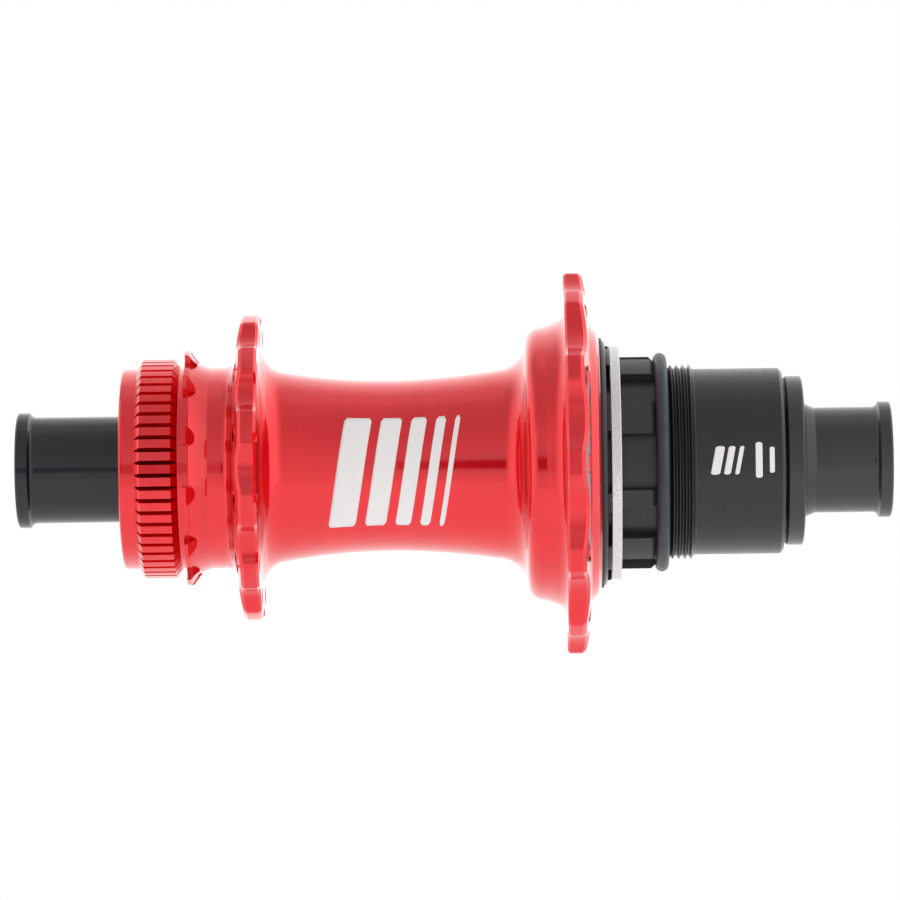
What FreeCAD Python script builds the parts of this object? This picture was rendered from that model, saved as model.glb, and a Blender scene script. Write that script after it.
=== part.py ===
"""Rear road hub for a disc brake and a 12 mm thru-axle, with its cassette driver.

The axle lies along Y with the origin midway between the two frame ends. The
disc side is +Y and the drive side is -Y, the bicycle rides towards +X and +Z is
up. All sizes are in millimetres. Every outline below is a list of (r, y) pairs:
r is the distance from the axle line and y the place along it.
"""
import FreeCAD, Part
import math
import os

from FreeCAD import Vector

AXLE = Vector(0, 1, 0)
CENTRE = Vector(0, 0, 0)

# ---- frame interface ----
HUB_WIDTH = 142.0                     # between the dropouts
END_Y = HUB_WIDTH / 2
THRU_BORE_R = 6.05                    # for a 12 mm thru-axle
END_RING_R = 9.4
END_RING_LENGTH = 2.1
END_RING_NECK = 0.9                   # length of the hollow curve behind the end ring
CAP_WAIST_R = 8.65                    # disc side
DRIVE_CAP_WAIST_R = 8.55
DRIVE_CAP_FLANGE_R = 13.75
DRIVE_CAP_FLANGE_Y = (-53.7, -56.6)

# ---- axle ----
AXLE_R = 7.5
AXLE_BORE_R = 6.25
AXLE_END_Y = 64.0
AXLE_COLLAR_R = 8.8
SLEEVE_R = 8.7
O_RING_SECTION_R = 0.5
CAP_O_RING_Y = 60.0
CAP_O_RING_DEPTH = 0.4                # of its groove in the axle

# ---- bearings: bore radius, outer radius, width, ball radius, number of balls ----
SHELL_BEARING = (7.5, 14.0, 7.0, 1.98, 11)
DRIVER_BEARING = (7.5, 12.0, 5.0, 1.19, 14)
BEARINGS = {
    "disc_bearing": (44.5, SHELL_BEARING),
    "drive_bearing": (-11.5, SHELL_BEARING),
    "driver_inner_bearing": (-27.9, DRIVER_BEARING),
    "driver_outer_bearing": (-50.1, DRIVER_BEARING),
}
BALL_CLEARANCE = 0.06
CAGE_CLEARANCE = 0.12
SEAL_THICKNESS = 0.6
SEAL_INSET = 0.15

# ---- hub shell ----
SPOKES_PER_SIDE = 12
SPOKE_STEP = 360.0 / SPOKES_PER_SIDE
SPOKE_HOLE_R = 1.3
HOLE_CHAMFER = 0.35

DISC_FLANGE_PCD = 43.6
DISC_FLANGE_INNER_Y = 31.3
DISC_FLANGE_FACE = [(25.05, 34.15), (22.4, 34.85), (19.0, 35.5)]      # rim, ridge, root
DISC_FLANGE_NOTCH = (4.8, 1.9, 1.5)   # radius, depth and corner radius of the scallops
DISC_FLANGE_CHAMFER = (0.45, 0.45)    # inner and outer edge of the rim
DISC_INSIDE_R = 20.6                  # where the turned body ends inside the flange

DRIVE_FLANGE_PCD = 56.0
DRIVE_FLANGE_INNER_Y = -18.1
DRIVE_FLANGE_FACE = [(31.0, -20.95), (27.8, -21.72), (24.2, -21.9)]
DRIVE_FLANGE_NOTCH = (10.0, 2.4, 1.5)
DRIVE_FLANGE_CHAMFER = (0.35, 0.5)
DRIVE_INSIDE_R = 26.0

SHELL_BORE_R = 11.9
DISC_END_Y = 53.8
PILOT_R = 16.35
NECK_R = 16.4
BARREL_R = 13.93

DISC_SPLINE_TEETH = 54
DISC_SPLINE_TIP_R = 17.8
DISC_SPLINE_ROOT_R = 16.35
DISC_SPLINE_LAND = 0.6                # share of the pitch that is flat tooth top
DISC_SPLINE_Y = (51.15, 44.3)
LOCKRING_MINOR_R = 14.8
LOCKRING_THREAD_DEPTH = 0.5
LOCKRING_PITCH = 1.0
LOCKRING_TURNS = 5
THREAD_FLOOR_Y = 48.2                 # where the threaded recess ends at the bearing seat

SHOULDER_Y = (43.4, 42.5)            # thin disc that carries the lugs
SHOULDER_R = 18.0
LUG_COUNT = 12
LUG_NOSE_Y = 41.4
LUG_SLOPE = [(19.3, 42.8), (18.2, 42.0), (17.5, LUG_NOSE_Y)]    # how the top falls towards the nose
LUG_HALF_WIDTH = 1.5
LUG_FIRST_DEG = 13.5

BELL_BORE_R = 20.0
BELL_FLOOR_Y = -15.3
BELL_MOUTH_Y = -23.7

# ---- ratchet ----
RATCHET_TEETH = 60
RATCHET_TIP_R = 17.3
RATCHET_ROOT_R = 18.3
RATCHET_Y = (-15.4, -22.4)
RATCHET_BACKLASH_DEG = 1.45           # play that lets a pawl drop in behind a tooth
PAWL_COUNT = 5
PAWL_STEP = 360.0 / PAWL_COUNT
PAWL_PIVOT_R = 14.7
PAWL_HEEL_R = 1.5
PAWL_HEEL_CLEARANCE = 0.08
PAWL_REACH = 5.94                     # pivot to nose
PAWL_SWING_DEG = 15.0
PAWL_NOSE_DEG = 23.5                  # of the nose about the pivot, engaged
PAWL_NOSE_HEIGHT = 2.2
PAWL_Y = (-16.3, -21.7)
PAWL_SIDE_GAP = 0.1
POCKET_FLOOR = 12.9
LEAF_SPRING = (0.3, 3.6)              # thickness and width

# ---- driver ----
CARRIER_R = 16.6
CARRIER_Y = (-15.9, -22.5)
DRIVER_BORE_R = 12.0
CARRIER_BORE_R = 10.2
DRIVER_STEP_R = 19.0
DRIVER_FLANGE_R = 20.0
DRIVER_FLANGE_Y = (-24.15, -24.7)
SEAL_LIP_R = 19.7
SEAL_LIP_Y = -22.9
SEAL_DISC_R = 20.35
SEAL_DISC_Y = -23.8
CASTLE_R = 19.15
CASTLE_END_Y = -25.3
SPACER_RING = (17.3, 18.95)           # inner and outer radius
SPACER_END_Y = -26.95
SPLINE_TIP_R = 17.3
SPLINE_ROOT_R = 15.9
SPLINE_END_Y = -32.5
SPLINE_CHAMFER = 0.65
SPLINE_TEETH = 9
SPLINE_TOOTH_DEG = 19.5
SPLINE_FIRST_DEG = 14.5
KEY_TOOTH_DEG = (14.8, 24.3)          # the one narrow tooth
SPLINE_INNER_BORE_Y = -25.4           # shoulder that the driver's inner bearing stands against
CASSETTE_O_RING_Y = -33.62
CASSETTE_O_RING_R = 16.75
CASSETTE_O_RING_SECTION_R = 1.06
O_RING_GROOVE_R = 15.65
O_RING_GROOVE_Y = (-32.5, -34.75)
THREAD_Y = (-34.95, -38.9)
THREAD_MAJOR_R = 15.8
THREAD_MINOR_R = 15.2
THREAD_CRESTS = 4
JOURNAL_R = 15.12
DRIVER_END_Y = -53.3
DRIVER_END_CHAMFER = 0.5


# ---- helpers ----
def revolved(outline):
    """Turn a closed outline about the axle line. A third-point entry ("arc", mid, end) is an arc."""
    edges = []
    start = outline[0]
    last = start
    for item in outline[1:] + [start]:
        if item[0] == "arc":
            edges.append(Part.Arc(flat(last), flat(item[1]), flat(item[2])).toShape())
            last = item[2]
        elif item != last:
            edges.append(Part.makeLine(flat(last), flat(item)))
            last = item
    return Part.Face(Part.Wire(edges)).revolve(CENTRE, AXLE, 360)


def flat(point):
    return Vector(point[0], point[1], 0)


def ring(inner_r, outer_r, y_a, y_b):
    return revolved([(inner_r, y_a), (outer_r, y_a), (outer_r, y_b), (inner_r, y_b)])


def around(radius, degrees, y=0.0):
    """A point at an angle about the axle: 0 faces -X and a positive angle turns towards -Z."""
    angle = math.radians(degrees)
    return Vector(-radius * math.cos(angle), y, -radius * math.sin(angle))


def turned(shape, degrees):
    """Turn a shape about the axle in the sense in which around() counts."""
    copy = shape.copy()
    copy.rotate(CENTRE, AXLE, -degrees)
    return copy


def prism(points, y_a, y_b):
    wire = Part.makePolygon(points + [points[0]])
    return Part.Face(wire).extrude(Vector(0, y_b - y_a, 0))


def fused(shapes):
    return shapes[0].fuse(shapes[1:]).removeSplitter()


def torus(ring_r, section_r, y):
    return Part.makeTorus(ring_r, section_r, Vector(0, y, 0), AXLE)


# ---- bearings ----
def bearing(name, centre_y, bore_r, outer_r, width, ball_r, balls):
    """The pieces of one sealed cartridge bearing, each as (node name, shape)."""
    pitch_r = (bore_r + outer_r) / 2
    inner_land = pitch_r - 0.55 * ball_r
    outer_land = pitch_r + 0.55 * ball_r
    y_a = centre_y - width / 2
    y_b = centre_y + width / 2
    track = torus(pitch_r, ball_r + BALL_CLEARANCE, centre_y)
    cage_half = ball_r + 0.4
    cage = ring(pitch_r - 0.35 * ball_r, pitch_r + 0.35 * ball_r, centre_y - cage_half, centre_y + cage_half)
    ball_list = []
    for k in range(balls):
        place = around(pitch_r, 360.0 * k / balls, centre_y)
        outwards = around(1.0, 360.0 * k / balls)
        ball_list.append(Part.makeSphere(ball_r, place))
        pocket = Part.makeCylinder(ball_r + CAGE_CLEARANCE, 2 * ball_r, place - outwards * ball_r, outwards)
        cage = cage.cut(pocket)
    seals = []
    for face_y, inwards in ((y_a, 1), (y_b, -1)):
        near = face_y + inwards * SEAL_INSET
        seals.append(ring(inner_land + 0.12, outer_land, near, near + inwards * SEAL_THICKNESS))
    return [
        (name + "_inner_race", ring(bore_r, inner_land, y_a, y_b).cut(track)),
        (name + "_outer_race", ring(outer_land, outer_r, y_a, y_b).cut(track)),
        (name + "_balls", Part.makeCompound(ball_list)),
        (name + "_cage", cage),
        (name + "_seals", Part.makeCompound(seals)),
    ]


# ---- axle and end caps ----
def axle_tube():
    groove_r = AXLE_R - CAP_O_RING_DEPTH
    groove = O_RING_SECTION_R + 0.1
    disc_stop = BEARINGS["disc_bearing"][0] - SHELL_BEARING[2] / 2
    drive_stop = BEARINGS["drive_bearing"][0] + SHELL_BEARING[2] / 2
    tube = ring(AXLE_BORE_R, AXLE_R, -AXLE_END_Y, AXLE_END_Y)
    collar = ring(AXLE_BORE_R, AXLE_COLLAR_R, drive_stop, disc_stop)
    tube = tube.fuse(collar).removeSplitter()
    for y in (CAP_O_RING_Y, -CAP_O_RING_Y):
        tube = tube.cut(ring(groove_r, AXLE_R + 1, y - groove, y + groove))
    return tube


def end_cap(outline, side):
    """An end cap from its outer outline, bored for the thru-axle, the axle tube and its O-ring."""
    cap = revolved(outline + [(THRU_BORE_R, side * END_Y), (THRU_BORE_R, outline[0][1])])
    cap = cap.cut(ring(0.1, AXLE_R, outline[0][1], side * (AXLE_END_Y + 0.2)))
    y = side * CAP_O_RING_Y
    groove = O_RING_SECTION_R + 0.1
    groove_r = AXLE_R - CAP_O_RING_DEPTH + 2 * O_RING_SECTION_R
    return cap.cut(ring(AXLE_R - 0.5, groove_r, y - groove, y + groove))


def disc_end_cap():
    face_y = BEARINGS["disc_bearing"][0] + SHELL_BEARING[2] / 2
    ring_y = END_Y - END_RING_LENGTH
    return end_cap([
        (9.2, face_y), (9.2, face_y + 0.6), (13.9, face_y + 0.6), (13.9, face_y + 1.3),
        (13.4, face_y + 1.8), (CAP_WAIST_R + 0.4, face_y + 1.8),
        ("arc", (CAP_WAIST_R + 0.12, face_y + 1.92), (CAP_WAIST_R, face_y + 2.2)),
        (CAP_WAIST_R, ring_y - END_RING_NECK),
        ("arc", (CAP_WAIST_R + 0.12, ring_y - 0.4), (END_RING_R - 0.2, ring_y)), (END_RING_R, ring_y + 0.12),
        (END_RING_R, END_Y - 0.25), (END_RING_R - 0.25, END_Y),
    ], 1)


def drive_end_cap():
    face_y = BEARINGS["driver_outer_bearing"][0] - DRIVER_BEARING[2] / 2
    near, far = DRIVE_CAP_FLANGE_Y
    flange_r = DRIVE_CAP_FLANGE_R
    ring_y = -END_Y + END_RING_LENGTH
    return end_cap([
        (9.0, face_y), (9.0, near), (flange_r - 0.3, near), (flange_r, near - 0.3),
        (flange_r, far + 0.4), ("arc", (flange_r - 0.12, far + 0.12), (flange_r - 0.4, far)),
        (9.3, far), (9.2, far - 0.5), (DRIVE_CAP_WAIST_R, -58.6),
        (DRIVE_CAP_WAIST_R, ring_y + END_RING_NECK),
        ("arc", (DRIVE_CAP_WAIST_R + 0.15, ring_y + 0.4), (END_RING_R - 0.2, ring_y)),
        (END_RING_R, ring_y - 0.12),
        (END_RING_R, -END_Y + 0.25), (END_RING_R - 0.25, -END_Y),
    ], -1)


def cap_o_ring(side):
    return torus(AXLE_R - CAP_O_RING_DEPTH + O_RING_SECTION_R, O_RING_SECTION_R, side * CAP_O_RING_Y)


def sleeve(bearing_a, bearing_b):
    """The spacer tube between the inner races of two neighbouring bearings."""
    centre_a, size_a = BEARINGS[bearing_a]
    centre_b, size_b = BEARINGS[bearing_b]
    return ring(AXLE_R, SLEEVE_R, centre_a - size_a[2] / 2, centre_b + size_b[2] / 2)


# ---- hub shell ----
def scalloped_wire(rim_r, first_notch_deg, y, notch):
    """The flange outline: a lobe at each spoke hole with a rounded notch between each two."""
    notch_r, depth, corner_r = notch
    centre_r = rim_r - depth + notch_r
    round_r = rim_r - corner_r
    reach = notch_r + corner_r
    cosine = (round_r ** 2 + centre_r ** 2 - reach ** 2) / (2 * round_r * centre_r)
    half_deg = math.degrees(math.acos(cosine))
    edges = []
    for k in range(SPOKES_PER_SIDE):
        angle = first_notch_deg + k * SPOKE_STEP
        notch_centre = around(centre_r, angle, y)
        ends = []
        for side in (-1, 1):
            round_centre = around(round_r, angle + side * half_deg, y)
            inward = (round_centre - notch_centre).normalize()
            touch = notch_centre + inward * notch_r
            rim_point = around(rim_r, angle + side * half_deg, y)
            outward = (rim_point - round_centre).normalize()
            middle = round_centre + (outward - inward).normalize() * corner_r
            ends.append((touch, middle, rim_point))
        edges.append(Part.Arc(ends[0][2], ends[0][1], ends[0][0]).toShape())
        edges.append(Part.Arc(ends[0][0], around(rim_r - depth, angle, y), ends[1][0]).toShape())
        edges.append(Part.Arc(ends[1][0], ends[1][1], ends[1][2]).toShape())
        next_start = around(rim_r, angle + SPOKE_STEP - half_deg, y)
        lobe_top = around(rim_r, angle + SPOKE_STEP / 2, y)
        edges.append(Part.Arc(ends[1][2], lobe_top, next_start).toShape())
    return Part.Wire(edges)


def face_y(face, radius):
    """Where along the axle a flange's outer face lies at a radius."""
    for (far_r, far_y), (near_r, near_y) in zip(face, face[1:]):
        if radius >= near_r:
            return near_y + (far_y - near_y) * (radius - near_r) / (far_r - near_r)
    return face[-1][1]


def flange(face, inner_y, first_notch_deg, notch, chamfers):
    """One spoke flange: flat towards the hub's middle, coned outside, with chamfered rim edges."""
    rim_r = face[0][0]
    root_r, root_y = face[-1]
    past_r = rim_r + 1.0
    core_r = root_r - 3.0
    slope = (face[0][1] - face[1][1]) / (face[0][0] - face[1][0])
    cone = revolved([(core_r, inner_y), (past_r, inner_y), (past_r, face[0][1] + slope * (past_r - rim_r))]
                    + face[1:] + [(core_r, root_y)])
    outline = scalloped_wire(rim_r, first_notch_deg, inner_y, notch)
    disc = Part.Face(outline).extrude(Vector(0, root_y - inner_y, 0)).common(cone)
    rim_edges = ([], [])
    for edge in disc.Edges:
        middle = edge.valueAt((edge.FirstParameter + edge.LastParameter) / 2)
        ends_y = [vertex.Point.y for vertex in edge.Vertexes]
        if math.hypot(middle.x, middle.z) < rim_r - notch[1] - 0.2 or max(ends_y) - min(ends_y) > 1.0:
            continue
        on_outside = abs(middle.y - inner_y) > 1e-4
        rim_edges[on_outside].append(edge)
    disc = disc.makeChamfer(chamfers[0], rim_edges[0])
    kept = [edge for edge in disc.Edges if any(edge.isSame(other) for other in rim_edges[1])]
    return disc.makeChamfer(chamfers[1], kept)


def spoke_hole_cutters(pcd, first_deg, inner_y, face_y):
    """Drills for one flange, each with a countersink at both faces."""
    cutters = []
    outwards = 1 if face_y > inner_y else -1
    for k in range(SPOKES_PER_SIDE):
        angle = first_deg + k * SPOKE_STEP
        start = around(pcd / 2, angle, inner_y - outwards)
        length = abs(face_y - inner_y) + 2
        cutters.append(Part.makeCylinder(SPOKE_HOLE_R, length, start, AXLE * outwards))
        wide = SPOKE_HOLE_R + HOLE_CHAMFER
        at_inner = around(pcd / 2, angle, inner_y)
        at_face = around(pcd / 2, angle, face_y)
        cutters.append(Part.makeCone(wide + 0.1, SPOKE_HOLE_R - 0.1, HOLE_CHAMFER + 0.2,
                                     at_inner - AXLE * (0.1 * outwards), AXLE * outwards))
        cutters.append(Part.makeCone(wide + 0.3, SPOKE_HOLE_R - 0.1, HOLE_CHAMFER + 0.4,
                                     at_face + AXLE * (0.3 * outwards), AXLE * -outwards))
    return cutters


def disc_spline():
    """The splined ring that carries the brake disc, with its chamfered ends."""
    step = 360.0 / DISC_SPLINE_TEETH
    land = step * DISC_SPLINE_LAND / 2
    points = []
    for k in range(DISC_SPLINE_TEETH):
        angle = k * step
        points.append(around(DISC_SPLINE_TIP_R + 0.3, angle - land, DISC_SPLINE_Y[1]))
        points.append(around(DISC_SPLINE_TIP_R + 0.3, angle + land, DISC_SPLINE_Y[1]))
        points.append(around(DISC_SPLINE_ROOT_R, angle + step / 2, DISC_SPLINE_Y[1]))
    star = prism(points, DISC_SPLINE_Y[1], DISC_SPLINE_Y[0])
    outer, inner = DISC_SPLINE_Y
    tip = DISC_SPLINE_TIP_R
    core_r = DISC_SPLINE_ROOT_R - 0.75
    envelope = revolved([
        (core_r, inner), (NECK_R + 0.1, inner), (tip, inner + 1.0),
        (tip, outer - 0.8), (PILOT_R + 0.35, outer), (core_r, outer),
    ])
    return star.common(envelope)


def shoulder_lug(angle):
    """One lug on the shoulder: straight sides, and a round nose that slopes down towards the neck."""
    outer = SHOULDER_Y[0]
    nose_y = LUG_NOSE_Y + LUG_HALF_WIDTH
    corners = [Vector(-NECK_R, outer, LUG_HALF_WIDTH), Vector(-NECK_R, nose_y, LUG_HALF_WIDTH),
               Vector(-NECK_R, nose_y, -LUG_HALF_WIDTH), Vector(-NECK_R, outer, -LUG_HALF_WIDTH)]
    plan = Part.Wire([
        Part.makeLine(corners[0], corners[1]),
        Part.Arc(corners[1], Vector(-NECK_R, LUG_NOSE_Y, 0), corners[2]).toShape(),
        Part.makeLine(corners[2], corners[3]), Part.makeLine(corners[3], corners[0]),
    ])
    tip_r = LUG_SLOPE[0][0]
    block = Part.Face(plan).extrude(Vector(NECK_R - tip_r - 0.5, 0, 0))
    envelope = revolved([(NECK_R - 1.0, outer), (tip_r, outer)] + LUG_SLOPE + [(NECK_R - 1.0, LUG_NOSE_Y)])
    return turned(block.common(envelope), angle)


def lockring_thread_cutter():
    """Annular grooves for the lockring's thread, inside the disc end of the shell."""
    outline = []
    first = DISC_END_Y - 0.6
    for k in range(LOCKRING_TURNS):
        y = first - k * LOCKRING_PITCH
        outline.append(revolved([
            (LOCKRING_MINOR_R - 0.2, y), (LOCKRING_MINOR_R + LOCKRING_THREAD_DEPTH, y - 0.42 * LOCKRING_PITCH),
            (LOCKRING_MINOR_R - 0.2, y - 0.84 * LOCKRING_PITCH),
        ]))
    return outline


def hub_shell():
    disc_seat_y = BEARINGS["disc_bearing"][0] - SHELL_BEARING[2] / 2
    drive_seat_y = BEARINGS["drive_bearing"][0] + SHELL_BEARING[2] / 2
    seat_r = SHELL_BEARING[1]
    outer, inner = SHOULDER_Y
    disc_root = DISC_FLANGE_FACE[-1]
    drive_root = DRIVE_FLANGE_FACE[-1]
    spline_end = DISC_SPLINE_Y[1]
    body = revolved([
        (LOCKRING_MINOR_R, DISC_END_Y - 0.3), (LOCKRING_MINOR_R + 0.3, DISC_END_Y),
        (PILOT_R - 0.5, DISC_END_Y),
        ("arc", (PILOT_R - 0.15, DISC_END_Y - 0.15), (PILOT_R, DISC_END_Y - 0.5)),
        (PILOT_R, spline_end), (NECK_R, spline_end), (NECK_R, outer),
        (SHOULDER_R, outer), (SHOULDER_R, inner), (SHOULDER_R - 0.55, inner - 0.05),
        ("arc", (16.95, 41.1), (NECK_R, 39.5)),
        (NECK_R, 37.3), ("arc", (16.9, 36.2), (18.3, disc_root[1] + 0.1)),
        disc_root, (DISC_INSIDE_R, face_y(DISC_FLANGE_FACE, DISC_INSIDE_R)),
        (DISC_INSIDE_R, DISC_FLANGE_INNER_Y),
        ("arc", (18.3, 30.85), (16.9, 30.1)), ("arc", (16.05, 29.2), (15.45, 27.6)),
        ("arc", (14.4, 20.0), (BARREL_R, 9.0)),
        ("arc", (14.42, 0.5), (15.4, -7.3)), ("arc", (16.25, -9.7), (18.3, -11.35)),
        (19.4, -11.7), ("arc", (21.5, -12.45), (22.15, -13.6)), (22.45, -15.0), (22.95, -16.3),
        ("arc", (23.5, -17.3), (24.6, DRIVE_FLANGE_INNER_Y)),
        (DRIVE_INSIDE_R, DRIVE_FLANGE_INNER_Y), (DRIVE_INSIDE_R, face_y(DRIVE_FLANGE_FACE, DRIVE_INSIDE_R)),
        drive_root, (23.4, drive_root[1] - 0.05),
        ("arc", (22.9, drive_root[1] - 0.13), (22.6, drive_root[1] - 0.4)),
        (21.7, BELL_MOUTH_Y + 0.5), (20.9, BELL_MOUTH_Y + 0.2), (20.6, BELL_MOUTH_Y),
        (BELL_BORE_R, BELL_MOUTH_Y), (BELL_BORE_R, BELL_FLOOR_Y), (seat_r, BELL_FLOOR_Y),
        (seat_r, drive_seat_y), (SHELL_BORE_R, drive_seat_y), (SHELL_BORE_R, disc_seat_y),
        (seat_r, disc_seat_y), (seat_r, THREAD_FLOOR_Y), (LOCKRING_MINOR_R, THREAD_FLOOR_Y),
    ])
    half_step = SPOKE_STEP / 2
    disc_flange = flange(DISC_FLANGE_FACE, DISC_FLANGE_INNER_Y, 0.0, DISC_FLANGE_NOTCH, DISC_FLANGE_CHAMFER)
    drive_flange = flange(DRIVE_FLANGE_FACE, DRIVE_FLANGE_INNER_Y, half_step, DRIVE_FLANGE_NOTCH,
                          DRIVE_FLANGE_CHAMFER)
    lugs = [shoulder_lug(LUG_FIRST_DEG + k * 360.0 / LUG_COUNT) for k in range(LUG_COUNT)]
    shell = fused([body, disc_flange, drive_flange, disc_spline()] + lugs)
    holes = spoke_hole_cutters(DISC_FLANGE_PCD, half_step, DISC_FLANGE_INNER_Y,
                               face_y(DISC_FLANGE_FACE, DISC_FLANGE_PCD / 2))
    holes += spoke_hole_cutters(DRIVE_FLANGE_PCD, 0.0, DRIVE_FLANGE_INNER_Y,
                                face_y(DRIVE_FLANGE_FACE, DRIVE_FLANGE_PCD / 2))
    return shell.cut(holes + lockring_thread_cutter())


# ---- ratchet ----
def pawl_frame(u, v, y=0.0):
    """A point of the first pawl's plan: u away from the axle, v along the way the nose points."""
    return Vector(u, y, v)


def pawl_nose(swing_deg):
    """Top and bottom corner of the nose when the pawl has swung out by an angle."""
    engaged = math.radians(PAWL_NOSE_DEG)
    top = (PAWL_PIVOT_R + PAWL_REACH * math.sin(engaged), PAWL_REACH * math.cos(engaged))
    shrink = 1 - PAWL_NOSE_HEIGHT / math.hypot(*top)
    corners = [top, (top[0] * shrink, top[1] * shrink)]
    back = math.radians(swing_deg - PAWL_SWING_DEG)
    result = []
    for u, v in corners:
        du = u - PAWL_PIVOT_R
        result.append((PAWL_PIVOT_R + du * math.cos(back) + v * math.sin(back),
                       v * math.cos(back) - du * math.sin(back)))
    return result


def nose_angle_deg():
    top = pawl_nose(PAWL_SWING_DEG)[0]
    return math.degrees(math.atan2(top[1], top[0]))


def pawl(index):
    """A pawl folded into its pocket."""
    y_a, y_b = PAWL_Y
    top, bottom = pawl_nose(0.0)
    heel = Part.makeCylinder(PAWL_HEEL_R, y_a - y_b, pawl_frame(PAWL_PIVOT_R, 0, y_b), AXLE)
    plan = [(PAWL_PIVOT_R + PAWL_HEEL_R * 0.96, 0.3), (top[0] - 0.05, top[1] - 0.5), top, bottom,
            (PAWL_PIVOT_R - PAWL_HEEL_R * 0.92, 0.55)]
    arm = prism([pawl_frame(u, v, y_b) for u, v in plan], y_b, y_a)
    return turned(heel.fuse(arm).removeSplitter(), index * PAWL_STEP)


def pawl_pocket(index):
    y_a = PAWL_Y[0] + PAWL_SIDE_GAP
    y_b = PAWL_Y[1] - PAWL_SIDE_GAP
    socket_r = PAWL_HEEL_R + PAWL_HEEL_CLEARANCE
    socket = Part.makeCylinder(socket_r, y_a - y_b, pawl_frame(PAWL_PIVOT_R, 0, y_b), AXLE)
    plan = [(PAWL_PIVOT_R - 1.0, 0.0), (POCKET_FLOOR, 1.6), (POCKET_FLOOR, 5.5), (CARRIER_R + 1, 7.0),
            (CARRIER_R + 1, 0.0)]
    room = prism([pawl_frame(u, v, y_b) for u, v in plan], y_b, y_a)
    return turned(socket.fuse(room), index * PAWL_STEP)


def leaf_spring(index):
    """The pawl's leaf spring, pressed flat under the folded pawl."""
    thick, width = LEAF_SPRING
    middle = (PAWL_Y[0] + PAWL_Y[1]) / 2
    plan = [(POCKET_FLOOR, 1.8), (POCKET_FLOOR, 5.2), (POCKET_FLOOR + thick, 5.2), (POCKET_FLOOR + thick, 3.2),
            (POCKET_FLOOR + thick * 0.8, 1.8)]
    leaf = prism([pawl_frame(u, v, middle - width / 2) for u, v in plan], 0, width)
    return turned(leaf, index * PAWL_STEP)


def drive_ring():
    """The toothed ring that the pawls drive: steep faces towards the pawls, ramps behind."""
    step = 360.0 / RATCHET_TEETH
    face = nose_angle_deg() + RATCHET_BACKLASH_DEG
    points = []
    for k in range(RATCHET_TEETH):
        for radius, degrees in ((RATCHET_ROOT_R, face), (RATCHET_TIP_R, face + 0.1)):
            angle = math.radians(degrees + k * step)
            points.append(Vector(radius * math.cos(angle), RATCHET_Y[1], radius * math.sin(angle)))
    teeth = prism(points, RATCHET_Y[1], RATCHET_Y[0])
    return ring(RATCHET_TIP_R - 2, BELL_BORE_R, *RATCHET_Y).cut(teeth)


# ---- driver ----
def spline_teeth(tip_r, root_r, y_a, y_b):
    """The cassette spline between two planes: eight wide teeth and one narrow key."""
    teeth = []
    for k in range(SPLINE_TEETH):
        middle = SPLINE_FIRST_DEG + k * 360.0 / SPLINE_TEETH
        start, end = middle - SPLINE_TOOTH_DEG / 2, middle + SPLINE_TOOTH_DEG / 2
        if k == 0:
            start, end = KEY_TOOTH_DEG
        wedge = [around(root_r - 1.0, start, y_b), around(tip_r + 2.0, start, y_b),
                 around(tip_r + 2.0, (start + end) / 2, y_b), around(tip_r + 2.0, end, y_b),
                 around(root_r - 1.0, end, y_b)]
        teeth.append(prism(wedge, y_b, y_a))
    return Part.makeCompound(teeth)


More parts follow.
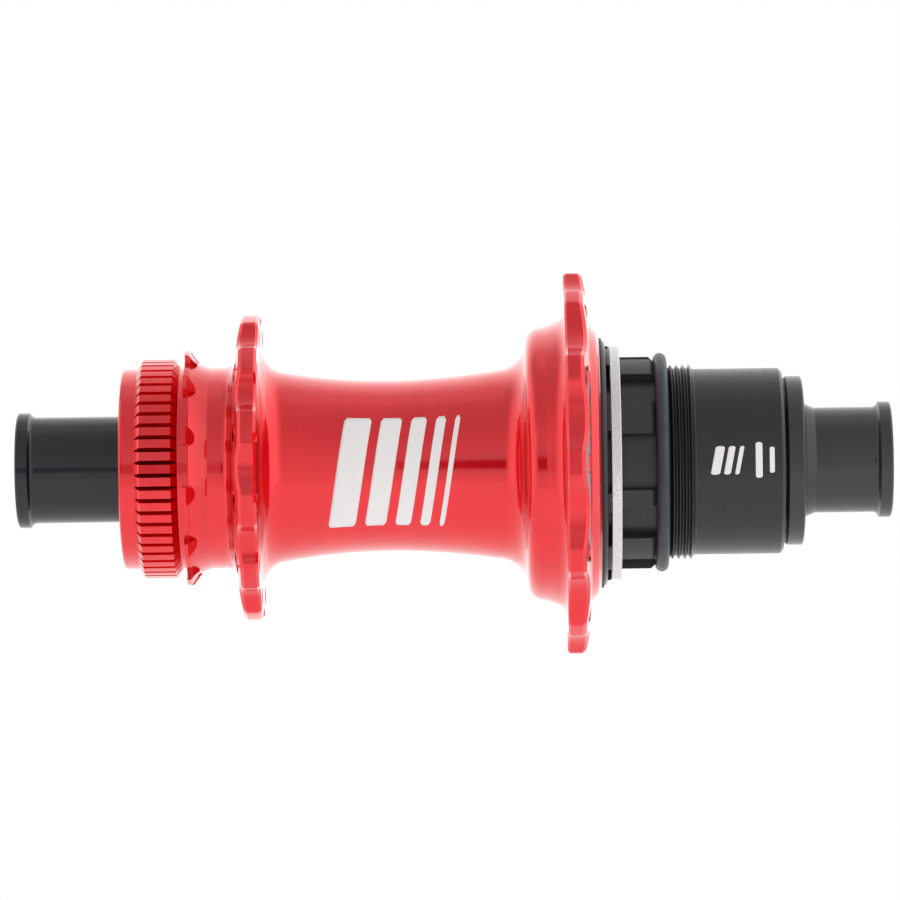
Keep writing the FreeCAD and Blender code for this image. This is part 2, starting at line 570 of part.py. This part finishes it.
def driver_body():
    crest = (THREAD_Y[0] - THREAD_Y[1]) / THREAD_CRESTS
    thread = []
    for k in range(THREAD_CRESTS):
        y = THREAD_Y[0] - k * crest
        thread += [(THREAD_MAJOR_R, y - 0.35 * crest), (THREAD_MAJOR_R, y - 0.5 * crest),
                   (THREAD_MINOR_R, y - 0.85 * crest), (THREAD_MINOR_R, y - crest)]
    flange_near, flange_far = DRIVER_FLANGE_Y
    body = revolved([
        (CARRIER_BORE_R, CARRIER_Y[0]), (CARRIER_R - 0.3, CARRIER_Y[0]), (CARRIER_R, CARRIER_Y[0] - 0.3),
        (CARRIER_R, CARRIER_Y[1]), (DRIVER_STEP_R, CARRIER_Y[1]), (DRIVER_STEP_R, flange_near),
        (DRIVER_FLANGE_R, flange_near),
        ("arc", (DRIVER_FLANGE_R - 0.3, flange_far + 0.15), (DRIVER_FLANGE_R - 1.0, flange_far)),
        (SPLINE_ROOT_R, flange_far), (SPLINE_ROOT_R, O_RING_GROOVE_Y[0]),
        (O_RING_GROOVE_R, O_RING_GROOVE_Y[0]), (O_RING_GROOVE_R, O_RING_GROOVE_Y[1]),
        (SPLINE_ROOT_R - 0.1, O_RING_GROOVE_Y[1]), (THREAD_MINOR_R, THREAD_Y[0]),
    ] + thread + [
        (JOURNAL_R, THREAD_Y[1] - 0.1), (JOURNAL_R, DRIVER_END_Y + DRIVER_END_CHAMFER),
        (JOURNAL_R - DRIVER_END_CHAMFER, DRIVER_END_Y),
        (DRIVER_BORE_R + 0.3, DRIVER_END_Y), (DRIVER_BORE_R, DRIVER_END_Y + 0.3),
        (DRIVER_BORE_R, SPLINE_INNER_BORE_Y), (CARRIER_BORE_R, SPLINE_INNER_BORE_Y),
    ])
    tips = revolved([
        (SPLINE_ROOT_R - 0.5, DRIVER_FLANGE_Y[1] + 0.2), (CASTLE_R, DRIVER_FLANGE_Y[1] + 0.2),
        (CASTLE_R, CASTLE_END_Y + 0.1), (CASTLE_R - 0.1, CASTLE_END_Y), (SPLINE_TIP_R, CASTLE_END_Y),
        (SPLINE_TIP_R, SPLINE_END_Y + SPLINE_CHAMFER), (SPLINE_TIP_R - SPLINE_CHAMFER, SPLINE_END_Y),
        (SPLINE_ROOT_R - 0.5, SPLINE_END_Y),
    ])
    teeth = spline_teeth(CASTLE_R, SPLINE_ROOT_R, 0.2 + DRIVER_FLANGE_Y[1], SPLINE_END_Y).common(tips)
    driver = body.fuse(teeth.Solids).removeSplitter()
    return driver.cut([pawl_pocket(k) for k in range(PAWL_COUNT)])


def driver_seal():
    """The rubber seal on the driver: a lip inside the bell's mouth and a disc that covers it."""
    return revolved([
        (DRIVER_STEP_R, SEAL_LIP_Y), (SEAL_LIP_R - 0.3, SEAL_LIP_Y), (SEAL_LIP_R, SEAL_LIP_Y - 0.3),
        (SEAL_LIP_R, SEAL_DISC_Y),
        (SEAL_DISC_R, SEAL_DISC_Y), (SEAL_DISC_R, SEAL_DISC_Y - 0.25), (SEAL_DISC_R - 0.1, DRIVER_FLANGE_Y[0]),
        (DRIVER_STEP_R, DRIVER_FLANGE_Y[0]),
    ])


def spacer_ring():
    inner_r, outer_r = SPACER_RING
    bevel = 0.12
    return revolved([
        (inner_r, CASTLE_END_Y), (outer_r - bevel, CASTLE_END_Y), (outer_r, CASTLE_END_Y - bevel),
        (outer_r, SPACER_END_Y + bevel), (outer_r - bevel, SPACER_END_Y), (inner_r, SPACER_END_Y),
    ])


def cassette_o_ring():
    return torus(CASSETTE_O_RING_R, CASSETTE_O_RING_SECTION_R, CASSETTE_O_RING_Y)


def main():
    nodes = {
        "axle_tube": axle_tube(),
        "end_cap_disc_side": disc_end_cap(),
        "end_cap_drive_side": drive_end_cap(),
        "cap_o_ring_disc_side": cap_o_ring(1),
        "cap_o_ring_drive_side": cap_o_ring(-1),
        "sleeve_shell_to_driver": sleeve("drive_bearing", "driver_inner_bearing"),
        "sleeve_in_driver": sleeve("driver_inner_bearing", "driver_outer_bearing"),
        "hub_shell": hub_shell(),
        "drive_ring": drive_ring(),
        "driver_body": driver_body(),
        "driver_seal": driver_seal(),
        "cassette_spacer_ring": spacer_ring(),
        "cassette_o_ring": cassette_o_ring(),
        "pawl_leaf_springs": Part.makeCompound([leaf_spring(k) for k in range(PAWL_COUNT)]),
    }
    for k in range(PAWL_COUNT):
        nodes[f"pawl_{k + 1}"] = pawl(k)
    for name, (centre_y, sizes) in BEARINGS.items():
        nodes.update(bearing(name, centre_y, *sizes))
    os.makedirs("parts", exist_ok=True)
    for name, shape in nodes.items():
        if not shape.isValid() or not shape.Solids:
            print("check this piece:", name, shape.isValid(), len(shape.Solids))
        shape.exportStep(f"parts/{name}.step")
    print(len(nodes), "nodes")


main()
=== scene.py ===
import math

import bpy
from mathutils import Matrix, Vector
from mathutils.bvhtree import BVHTree

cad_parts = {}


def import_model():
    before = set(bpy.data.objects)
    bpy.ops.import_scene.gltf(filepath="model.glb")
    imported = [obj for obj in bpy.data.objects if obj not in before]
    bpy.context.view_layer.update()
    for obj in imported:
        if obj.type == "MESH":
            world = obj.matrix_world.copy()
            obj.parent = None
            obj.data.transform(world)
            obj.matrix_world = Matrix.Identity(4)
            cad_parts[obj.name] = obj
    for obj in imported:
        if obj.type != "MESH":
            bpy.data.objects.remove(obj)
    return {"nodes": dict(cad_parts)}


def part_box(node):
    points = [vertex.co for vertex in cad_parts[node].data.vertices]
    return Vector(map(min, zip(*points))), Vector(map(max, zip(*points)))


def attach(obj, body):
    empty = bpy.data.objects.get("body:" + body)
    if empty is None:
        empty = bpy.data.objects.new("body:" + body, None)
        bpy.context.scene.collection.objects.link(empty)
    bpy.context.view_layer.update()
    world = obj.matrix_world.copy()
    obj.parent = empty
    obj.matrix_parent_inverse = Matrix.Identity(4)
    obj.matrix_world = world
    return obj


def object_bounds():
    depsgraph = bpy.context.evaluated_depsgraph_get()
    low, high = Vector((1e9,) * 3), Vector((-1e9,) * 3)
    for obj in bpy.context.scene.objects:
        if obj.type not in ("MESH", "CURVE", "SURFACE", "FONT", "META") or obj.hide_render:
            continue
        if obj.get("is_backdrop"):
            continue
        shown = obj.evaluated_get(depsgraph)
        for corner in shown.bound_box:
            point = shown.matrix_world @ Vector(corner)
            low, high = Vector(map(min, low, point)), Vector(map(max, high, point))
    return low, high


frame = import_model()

CAD_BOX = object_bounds()
NODES = frame["nodes"]
MM = 0.001

# ---- camera: far away on a long lens, looking along +X, a little to the drive side, and rolled ----
CAMERA_PLACE = Vector((-0.9, -0.008, 0.00244))
CAMERA_TARGET = Vector((0.0, 0.00066, 0.00244))
CAMERA_ROLL_DEG = 0.77
CAMERA_LENS_MM = 220.8

# ---- printed marks: places and sizes in mm, measured along the axle and round the surface ----
INK_GRAIN = 0.08
INK_LIFT = 0.012                      # the middle of the film above the metal
INK_THICKNESS = 0.01
BAR_CORNER = 0.35
SHELL_BAR_WIDTHS = (4.4, 3.4, 2.5, 1.6, 0.8)
SHELL_BAR_GAP = 1.5
SHELL_BARS_START_Y = 18.9
SHELL_BAR_HEIGHT = 19.0
SHELL_BAR_LEAN = -3.0
SHELL_PRINT_MIDDLE = -1.2             # a little under the level of the axle
SHELL_PRINT_R = 14.2
DRIVER_SLANTS = ((-42.4, 1.5), (-44.3, 1.1), (-45.9, 0.7))         # place along the axle and width
DRIVER_SLANT_HEIGHT = 4.6
DRIVER_SLANT_LEAN = -0.9
DRIVER_LINES = ((-49.0, 1.1, 5.8), (-51.1, 0.8, 4.2))              # place, width and height
DRIVER_PRINT_MIDDLE = 0.2
DRIVER_PRINT_R = 15.2

# ---- studio ----
FLOOR_Z = -0.12
FLOOR_RADIUS = 0.34
FLOOR_GLOW = 0.22                     # light of the floor's own, so that it stays as white as the tent
SIDE_LEVEL = 1.7
GAP_LEVEL = 0.1                       # the dark band beside the camera
BACK_LEVEL = 1.6
LIGHT_PLACE = (0.25, 0.0, 0.7)
LIGHT_SIZE = (0.6, 0.6)
LIGHT_WATTS = 0.15


# ======== node helpers ========
def add(tree, kind, inputs=None, **settings):
    """A shader node with its settings and the values or links of its inputs."""
    node = tree.nodes.new(kind)
    for key, value in settings.items():
        setattr(node, key, value)
    for key, value in (inputs or {}).items():
        if isinstance(value, bpy.types.NodeSocket):
            tree.links.new(value, node.inputs[key])
        else:
            node.inputs[key].default_value = value
    return node


def math_node(tree, operation, *values):
    return add(tree, "ShaderNodeMath", dict(enumerate(values)), operation=operation).outputs[0]


def ranged(tree, value, low, high, to_low, to_high):
    """The value's range low..high mapped to to_low..to_high, and clamped."""
    names = ("Value", "From Min", "From Max", "To Min", "To Max")
    return add(tree, "ShaderNodeMapRange", dict(zip(names, (value, low, high, to_low, to_high)))).outputs[0]


def mixed(tree, factor, colour_a, colour_b):
    """A blend of two linear colours or colour links."""
    node = add(tree, "ShaderNodeMix", {0: factor}, data_type="RGBA")
    for socket, colour in ((6, colour_a), (7, colour_b)):
        if isinstance(colour, bpy.types.NodeSocket):
            tree.links.new(colour, node.inputs[socket])
        else:
            node.inputs[socket].default_value = (*colour, 1.0)
    return node.outputs[2]


def noise(tree, vector, feature, detail=2.0, roughness=0.5):
    """Noise with features of about that many metres."""
    inputs = {"Vector": vector, "Scale": 1.0 / feature, "Detail": detail, "Roughness": roughness}
    return add(tree, "ShaderNodeTexNoise", inputs).outputs[0]


def place(tree):
    """The point on the part, its distance from the axle and its place along it."""
    point = add(tree, "ShaderNodeTexCoord").outputs["Object"]
    split = add(tree, "ShaderNodeSeparateXYZ", {0: point})
    squares = [math_node(tree, "MULTIPLY", split.outputs[k], split.outputs[k]) for k in (0, 2)]
    radius = math_node(tree, "SQRT", math_node(tree, "ADD", *squares))
    return point, radius, split.outputs[1]


def turned_vector(tree, radius, along, point):
    """Coordinates that hardly change round the axle, so that noise draws tool lines of a lathe."""
    swirl = 0.01
    lines = add(tree, "ShaderNodeCombineXYZ", {0: radius, 1: along}).outputs[0]
    drift = add(tree, "ShaderNodeVectorMath", {0: point, 3: swirl}, operation="SCALE").outputs[0]
    return add(tree, "ShaderNodeVectorMath", {0: lines, 1: drift}, operation="ADD").outputs[0]


def material(name):
    made = bpy.data.materials.new(name)
    made.use_nodes = True
    tree = made.node_tree
    return made, tree, tree.nodes["Principled BSDF"]


def bumped(tree, shader, height, depth):
    """Raise the surface by a height from 0 to 1 times a depth in metres."""
    bump = add(tree, "ShaderNodeBump", {"Strength": 1.0, "Distance": depth, "Height": height})
    tree.links.new(bump.outputs[0], shader.inputs["Normal"])


def constants(shader, **values):
    """Values that are the same all over the surface, set on the shader's own sockets."""
    for key, value in values.items():
        shader.inputs[key.replace("_", " ")].default_value = value


# ======== materials ========
def red_anodised():
    """Polished aluminium under a red dyed oxide layer, with faint turning lines."""
    made, tree, shader = material("red_anodised_look")
    point, radius, along = place(tree)
    turned = turned_vector(tree, radius, along, point)
    lines = noise(tree, turned, 0.22 * MM, 3.0, 0.6)
    bands = noise(tree, turned, 1.6 * MM)
    cloud = noise(tree, point, 7.0 * MM)
    tone = math_node(tree, "ADD", math_node(tree, "MULTIPLY", bands, 0.5),
                     math_node(tree, "MULTIPLY", cloud, 0.5))
    colour = mixed(tree, ranged(tree, tone, 0.35, 0.65, 0.0, 1.0), (0.84, 0.002, 0.013), (0.77, 0.001, 0.009))
    tree.links.new(colour, shader.inputs["Base Color"])
    tree.links.new(ranged(tree, lines, 0.3, 0.7, 0.28, 0.34), shader.inputs["Roughness"])
    constants(shader, Metallic=1.0, Coat_Weight=1.0, Coat_Roughness=0.04, Coat_IOR=1.62)
    bumped(tree, shader, lines, 0.0002 * MM)
    return made


def black_anodised(name, base, roughness, ior, blasted_y=None):
    """Black dyed aluminium with turning lines, and grainy where it was bead blasted."""
    made, tree, shader = material(name)
    point, radius, along = place(tree)
    turned = turned_vector(tree, radius, along, point)
    lines = noise(tree, turned, 0.15 * MM, 3.0, 0.6)
    bands = noise(tree, turned, 2.2 * MM)
    grain = noise(tree, point, 0.12 * MM, 3.0, 0.6)
    colour = mixed(tree, bands, [0.75 * c for c in base], [1.25 * c for c in base])
    height = math_node(tree, "ADD", lines, math_node(tree, "MULTIPLY", grain, 0.35))
    rough = ranged(tree, height, 0.4, 1.0, 0.8 * roughness, 1.25 * roughness)
    if blasted_y:
        low, high = sorted(blasted_y)
        after = math_node(tree, "GREATER_THAN", along, low)
        before = math_node(tree, "LESS_THAN", along, high)
        blasted = math_node(tree, "MULTIPLY", after, before)
        colour = mixed(tree, math_node(tree, "MULTIPLY", blasted, ranged(tree, grain, 0.45, 0.7, 0.0, 1.0)),
                       colour, [3.0 * c for c in base])
        height = math_node(tree, "ADD", height, math_node(tree, "MULTIPLY", blasted,
                                                          math_node(tree, "MULTIPLY", grain, 6.0)))
        rough = math_node(tree, "ADD", rough, math_node(tree, "MULTIPLY", blasted, 0.15))
    tree.links.new(colour, shader.inputs["Base Color"])
    tree.links.new(rough, shader.inputs["Roughness"])
    constants(shader, Metallic=0.0, IOR=ior)
    bumped(tree, shader, height, 0.0003 * MM)
    return made


def bare_metal(name, base, roughness, line_depth, speckle=0.0, speckle_size=0.2 * MM):
    """Bare metal with turning or grinding lines, speckled where it was bead blasted."""
    made, tree, shader = material(name)
    point, radius, along = place(tree)
    turned = turned_vector(tree, radius, along, point)
    lines = noise(tree, turned, 0.12 * MM, 3.0, 0.6)
    grain = noise(tree, point, speckle_size, 2.0, 0.6)
    tone = mixed(tree, ranged(tree, lines, 0.3, 0.7, 0.0, 1.0), [0.88 * c for c in base], base)
    dark = [c * (1.0 - speckle) for c in base]
    colour = mixed(tree, ranged(tree, grain, 0.42, 0.6, 0.0, 1.0), dark, tone)
    tree.links.new(colour, shader.inputs["Base Color"])
    gloss = ranged(tree, lines, 0.3, 0.7, 0.8 * roughness, 1.2 * roughness)
    tree.links.new(gloss, shader.inputs["Roughness"])
    constants(shader, Metallic=1.0)
    height = math_node(tree, "ADD", lines, math_node(tree, "MULTIPLY", grain, 4.0 * speckle))
    bumped(tree, shader, height, line_depth)
    return made


def moulded(name, base, roughness, ior, grain_size, depth):
    """Rubber or moulded plastic with a fine grain and slightly uneven gloss."""
    made, tree, shader = material(name)
    point = place(tree)[0]
    grain = noise(tree, point, grain_size, 3.0, 0.6)
    cloud = noise(tree, point, 12.0 * grain_size)
    colour = mixed(tree, ranged(tree, cloud, 0.35, 0.65, 0.0, 1.0), [0.8 * c for c in base],
                   [1.2 * c for c in base])
    tree.links.new(colour, shader.inputs["Base Color"])
    gloss = ranged(tree, grain, 0.3, 0.7, 0.85 * roughness, 1.15 * roughness)
    tree.links.new(gloss, shader.inputs["Roughness"])
    constants(shader, Metallic=0.0, IOR=ior)
    bumped(tree, shader, grain, depth)
    return made


def white_ink():
    """Printed ink with a slightly uneven face."""
    made, tree, shader = material("white_ink")
    point = place(tree)[0]
    grain = noise(tree, point, INK_GRAIN * MM, 3.0, 0.6)
    colour = mixed(tree, ranged(tree, grain, 0.35, 0.65, 0.0, 1.0), (0.80, 0.79, 0.79), (0.90, 0.89, 0.89))
    tree.links.new(colour, shader.inputs["Base Color"])
    tree.links.new(ranged(tree, grain, 0.3, 0.7, 0.35, 0.5), shader.inputs["Roughness"])
    bumped(tree, shader, grain, 0.001 * MM)
    return made


def paint_nodes():
    """Give each CAD node its finish."""
    flange_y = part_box("cassette_spacer_ring")[1].y
    o_ring_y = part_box("cassette_o_ring")[1].y
    driver_black = black_anodised("driver_black_anodised", (0.013, 0.0135, 0.0165), 0.27, 1.5,
                                  (flange_y, o_ring_y))
    cap_black = black_anodised("drive_cap_black_anodised", (0.014, 0.015, 0.018), 0.24, 1.62)
    gloss_black = black_anodised("disc_cap_gloss_black", (0.007, 0.009, 0.012), 0.11, 1.5)
    steel = bare_metal("ground_bearing_steel", (0.60, 0.60, 0.62), 0.16, 0.0006 * MM)
    balls = bare_metal("polished_ball_steel", (0.66, 0.66, 0.68), 0.06, 0.0001 * MM)
    finishes = {
        "hub_shell": red_anodised(),
        "driver_body": driver_black,
        "sleeve_shell_to_driver": driver_black,
        "sleeve_in_driver": driver_black,
        "end_cap_drive_side": cap_black,
        "end_cap_disc_side": gloss_black,
        "axle_tube": bare_metal("turned_aluminium", (0.72, 0.72, 0.73), 0.26, 0.0012 * MM),
        "cassette_spacer_ring": bare_metal("blasted_aluminium", (0.90, 0.90, 0.91), 0.48, 0.01 * MM, 0.25),
        "cassette_o_ring": moulded("slate_rubber", (0.026, 0.036, 0.046), 0.42, 1.5, 0.12 * MM, 0.004 * MM),
        "driver_seal": moulded("black_rubber", (0.012, 0.012, 0.013), 0.5, 1.5, 0.12 * MM, 0.004 * MM),
        "drive_ring": bare_metal("hardened_ratchet_steel", (0.42, 0.41, 0.40), 0.34, 0.0015 * MM, 0.15),
        "pawl_leaf_springs": bare_metal("spring_steel", (0.50, 0.47, 0.42), 0.22, 0.0008 * MM),
    }
    pawl_steel = bare_metal("pawl_steel", (0.36, 0.35, 0.34), 0.30, 0.0012 * MM, 0.12)
    cage = moulded("cage_plastic", (0.10, 0.065, 0.03), 0.45, 1.5, 0.2 * MM, 0.004 * MM)
    seal = moulded("bearing_seal_rubber", (0.014, 0.014, 0.016), 0.55, 1.5, 0.15 * MM, 0.005 * MM)
    endings = {"_race": steel, "_balls": balls, "_cage": cage, "_seals": seal}
    for name, node in NODES.items():
        finish = finishes.get(name)
        for ending, look in endings.items():
            if name.endswith(ending):
                finish = look
        if name.startswith("pawl_") and finish is None:
            finish = pawl_steel
        if name.startswith("cap_o_ring"):
            finish = finishes["cassette_o_ring"]
        for holder in node.material_slots:
            holder.material = finish


# ======== printed marks ========
def surface_of(node_name):
    """A function that gives the point on a CAD node's outside at a place along the axle and an angle."""
    mesh = NODES[node_name].data
    tree = BVHTree.FromPolygons([v.co for v in mesh.vertices], [p.vertices for p in mesh.polygons])
    start_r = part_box(node_name)[1].z + 10 * MM

    def at(y, angle, lift):
        outwards = Vector((-math.cos(angle), 0.0, math.sin(angle)))
        hit = tree.ray_cast(outwards * start_r + Vector((0.0, y, 0.0)), -outwards)
        return hit[0] + outwards * lift
    return at


def printed_bar(name, at, middle, size, slant, radius, ink, body):
    """A bar of ink wrapped on a turned surface, with round corners.

    middle is (y, height) and size is (width, height), all measured on the surface, and slant is how far the
    bar leans along the axle from its bottom to its top.
    """
    across, up = 10, 28
    width, height = size
    corner = min(BAR_CORNER * MM, 0.3 * width, 0.3 * height)
    points = []
    for j in range(up + 1):
        t = -1.0 + 2.0 * j / up
        from_end = height / 2 * (1.0 - abs(t))
        inset = 0.0
        if from_end < corner:
            inset = corner - math.sqrt(corner ** 2 - (corner - from_end) ** 2)
        for i in range(across + 1):
            s = -1.0 + 2.0 * i / across
            y = middle[0] + s * (width / 2 - inset) + slant * t / 2
            angle = (middle[1] + t * height / 2) / radius
            points.append(at(y, angle, INK_LIFT * MM))
    row = across + 1
    faces = [(j * row + i, j * row + i + 1, (j + 1) * row + i + 1, (j + 1) * row + i)
             for j in range(up) for i in range(across)]
    mesh = bpy.data.meshes.new(name)
    mesh.from_pydata(points, [], faces)
    mesh.shade_smooth()
    bar = bpy.data.objects.new(name, mesh)
    bpy.context.scene.collection.objects.link(bar)
    bar.data.materials.append(ink)
    film = bar.modifiers.new("film", "SOLIDIFY")
    film.thickness = INK_THICKNESS * MM
    film.offset = 0.0
    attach(bar, body)


def shell_print(ink):
    """Five slanted bars on the barrel, from wide to narrow."""
    at = surface_of("hub_shell")
    y = SHELL_BARS_START_Y + SHELL_BAR_GAP
    for k, width in enumerate(SHELL_BAR_WIDTHS):
        y -= SHELL_BAR_GAP + width
        middle = ((y + width / 2) * MM, SHELL_PRINT_MIDDLE * MM)
        size = (width * MM, SHELL_BAR_HEIGHT * MM)
        printed_bar(f"shell_print_bar_{k + 1}", at, middle, size, SHELL_BAR_LEAN * MM, SHELL_PRINT_R * MM,
                    ink, "shell")


def driver_print(ink):
    """Three small slanted bars and two thin upright ones on the driver."""
    at = surface_of("driver_body")
    radius = DRIVER_PRINT_R * MM
    for k, (y, width) in enumerate(DRIVER_SLANTS):
        middle = (y * MM, DRIVER_PRINT_MIDDLE * MM)
        size = (width * MM, DRIVER_SLANT_HEIGHT * MM)
        printed_bar(f"driver_print_slant_{k + 1}", at, middle, size, DRIVER_SLANT_LEAN * MM, radius,
                    ink, "driver")
    for k, (y, width, height) in enumerate(DRIVER_LINES):
        middle = (y * MM, DRIVER_PRINT_MIDDLE * MM)
        size = (width * MM, height * MM)
        printed_bar(f"driver_print_line_{k + 1}", at, middle, size, 0.0, radius, ink, "driver")


# ======== studio ========
def floor():
    sides = 96
    angles = [math.tau * k / sides for k in range(sides)]
    corners = [(FLOOR_RADIUS * math.cos(angle), FLOOR_RADIUS * math.sin(angle), FLOOR_Z) for angle in angles]
    mesh = bpy.data.meshes.new("floor")
    mesh.from_pydata(corners, [], [tuple(range(sides))])
    made = bpy.data.objects.new("floor", mesh)
    bpy.context.scene.collection.objects.link(made)
    look, tree, shader = material("pale_floor")
    point = place(tree)[0]
    grain = noise(tree, point, 0.004)
    tree.links.new(mixed(tree, grain, (0.90, 0.90, 0.90), (0.93, 0.93, 0.93)), shader.inputs["Base Color"])
    constants(shader, Roughness=0.9, Emission_Color=(1.0, 1.0, 1.0, 1.0), Emission_Strength=FLOOR_GLOW)
    made.data.materials.append(look)
    made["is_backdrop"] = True


def soft_light(name, location, target, size, watts):
    light = bpy.data.lights.new(name, "AREA")
    light.shape = "RECTANGLE"
    light.size, light.size_y = size
    light.energy = watts
    made = bpy.data.objects.new(name, light)
    bpy.context.scene.collection.objects.link(made)
    made.location = location
    made.rotation_mode = "QUATERNION"
    made.rotation_quaternion = (Vector(target) - Vector(location)).to_track_quat("-Z", "Y")
    made.visible_camera = False


def ramped(tree, value, stops):
    """A level that follows stops of (value, level), with levels up to 4."""
    highest = 4.0
    ramp = add(tree, "ShaderNodeValToRGB", {0: value})
    while len(ramp.color_ramp.elements) < len(stops):
        ramp.color_ramp.elements.new(0.5)
    for element, (position, level) in zip(ramp.color_ramp.elements, stops):
        element.position = position
        element.color = (level / highest,) * 3 + (1.0,)
    return math_node(tree, "MULTIPLY", ramp.outputs[0], highest)


def blended(tree, factor, low, high):
    """low where the factor is 0 and high where it is 1."""
    return add(tree, "ShaderNodeMix", {0: factor, 2: low, 3: high}, data_type="FLOAT").outputs[0]


def world():
    """A white tent with a dark gap beside the camera.

    The camera sees plain white. What the hub reflects is brighter towards the floor, the two side walls and
    the back wall, dimmer above, and dark in a narrow band level with the camera on the disc side of it.
    """
    made = bpy.data.worlds.new("white_tent")
    bpy.context.scene.world = made
    made.use_nodes = True
    tree = made.node_tree
    tree.nodes.clear()
    direction = add(tree, "ShaderNodeTexCoord").outputs["Generated"]
    split = add(tree, "ShaderNodeSeparateXYZ", {0: direction})
    back, left, up = (math_node(tree, "MULTIPLY_ADD", split.outputs[k], 0.5, 0.5) for k in range(3))
    tent_front = ramped(tree, up, ((0.0, 1.3), (0.13, 1.3), (0.3, 1.2), (0.45, 1.1), (0.6, 1.0), (0.75, 0.85),
                                   (0.85, 0.76), (0.95, 0.78), (1.0, 0.85)))
    gap = ramped(tree, up, ((0.0, 0.0), (0.44, 0.0), (0.47, 1.0), (0.53, 1.0), (0.57, 0.0), (1.0, 0.0)))
    facing = ramped(tree, left, ((0.0, 0.0), (0.47, 0.0), (0.56, 0.8), (0.62, 1.0), (0.78, 1.0), (0.85, 0.0),
                                 (1.0, 0.0)))
    front = blended(tree, math_node(tree, "MULTIPLY", gap, facing), tent_front, GAP_LEVEL)
    sides = ramped(tree, left, ((0.0, 1.0), (0.22, 1.0), (0.36, 0.0), (0.83, 0.0), (0.9, 0.7), (1.0, 0.7)))
    walls = blended(tree, sides, front, SIDE_LEVEL)
    behind = ranged(tree, back, 0.66, 0.95, 0.0, 1.0)
    level = blended(tree, behind, walls, BACK_LEVEL)
    tent = add(tree, "ShaderNodeBackground", {"Strength": level})
    white = add(tree, "ShaderNodeBackground", {"Color": (1.0, 1.0, 1.0, 1.0), "Strength": 1.0})
    seen = add(tree, "ShaderNodeLightPath").outputs["Is Camera Ray"]
    mix = add(tree, "ShaderNodeMixShader", {0: seen, 1: tent.outputs[0], 2: white.outputs[0]})
    add(tree, "ShaderNodeOutputWorld", {0: mix.outputs[0]})


def camera():
    data = bpy.data.cameras.new("camera")
    data.lens = CAMERA_LENS_MM
    data.sensor_width = 36.0
    made = bpy.data.objects.new("camera", data)
    bpy.context.scene.collection.objects.link(made)
    roll = math.radians(CAMERA_ROLL_DEG)
    back = (CAMERA_PLACE - CAMERA_TARGET).normalized()
    level_right = Vector((0.0, 0.0, 1.0)).cross(back).normalized()
    level_up = back.cross(level_right)
    right = math.cos(roll) * level_right - math.sin(roll) * level_up
    up = math.sin(roll) * level_right + math.cos(roll) * level_up
    turn = Matrix((right, up, back)).transposed().to_4x4()
    made.matrix_world = Matrix.Translation(CAMERA_PLACE) @ turn
    bpy.context.scene.camera = made


def studio():
    bpy.context.scene.view_settings.view_transform = "Standard"
    floor()
    world()
    soft_light("light_above", LIGHT_PLACE, (0.0, 0.0, 0.0), LIGHT_SIZE, LIGHT_WATTS)
    camera()


def write_sizes():
    """Both boxes as plain lists: the CAD model's and the visual model's."""
    boxes = {"cad_box": CAD_BOX, "visual_box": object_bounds()}
    {key: [list(corner) for corner in box] for key, box in boxes.items()}


paint_nodes()
INK = white_ink()
shell_print(INK)
driver_print(INK)
studio()
write_sizes()
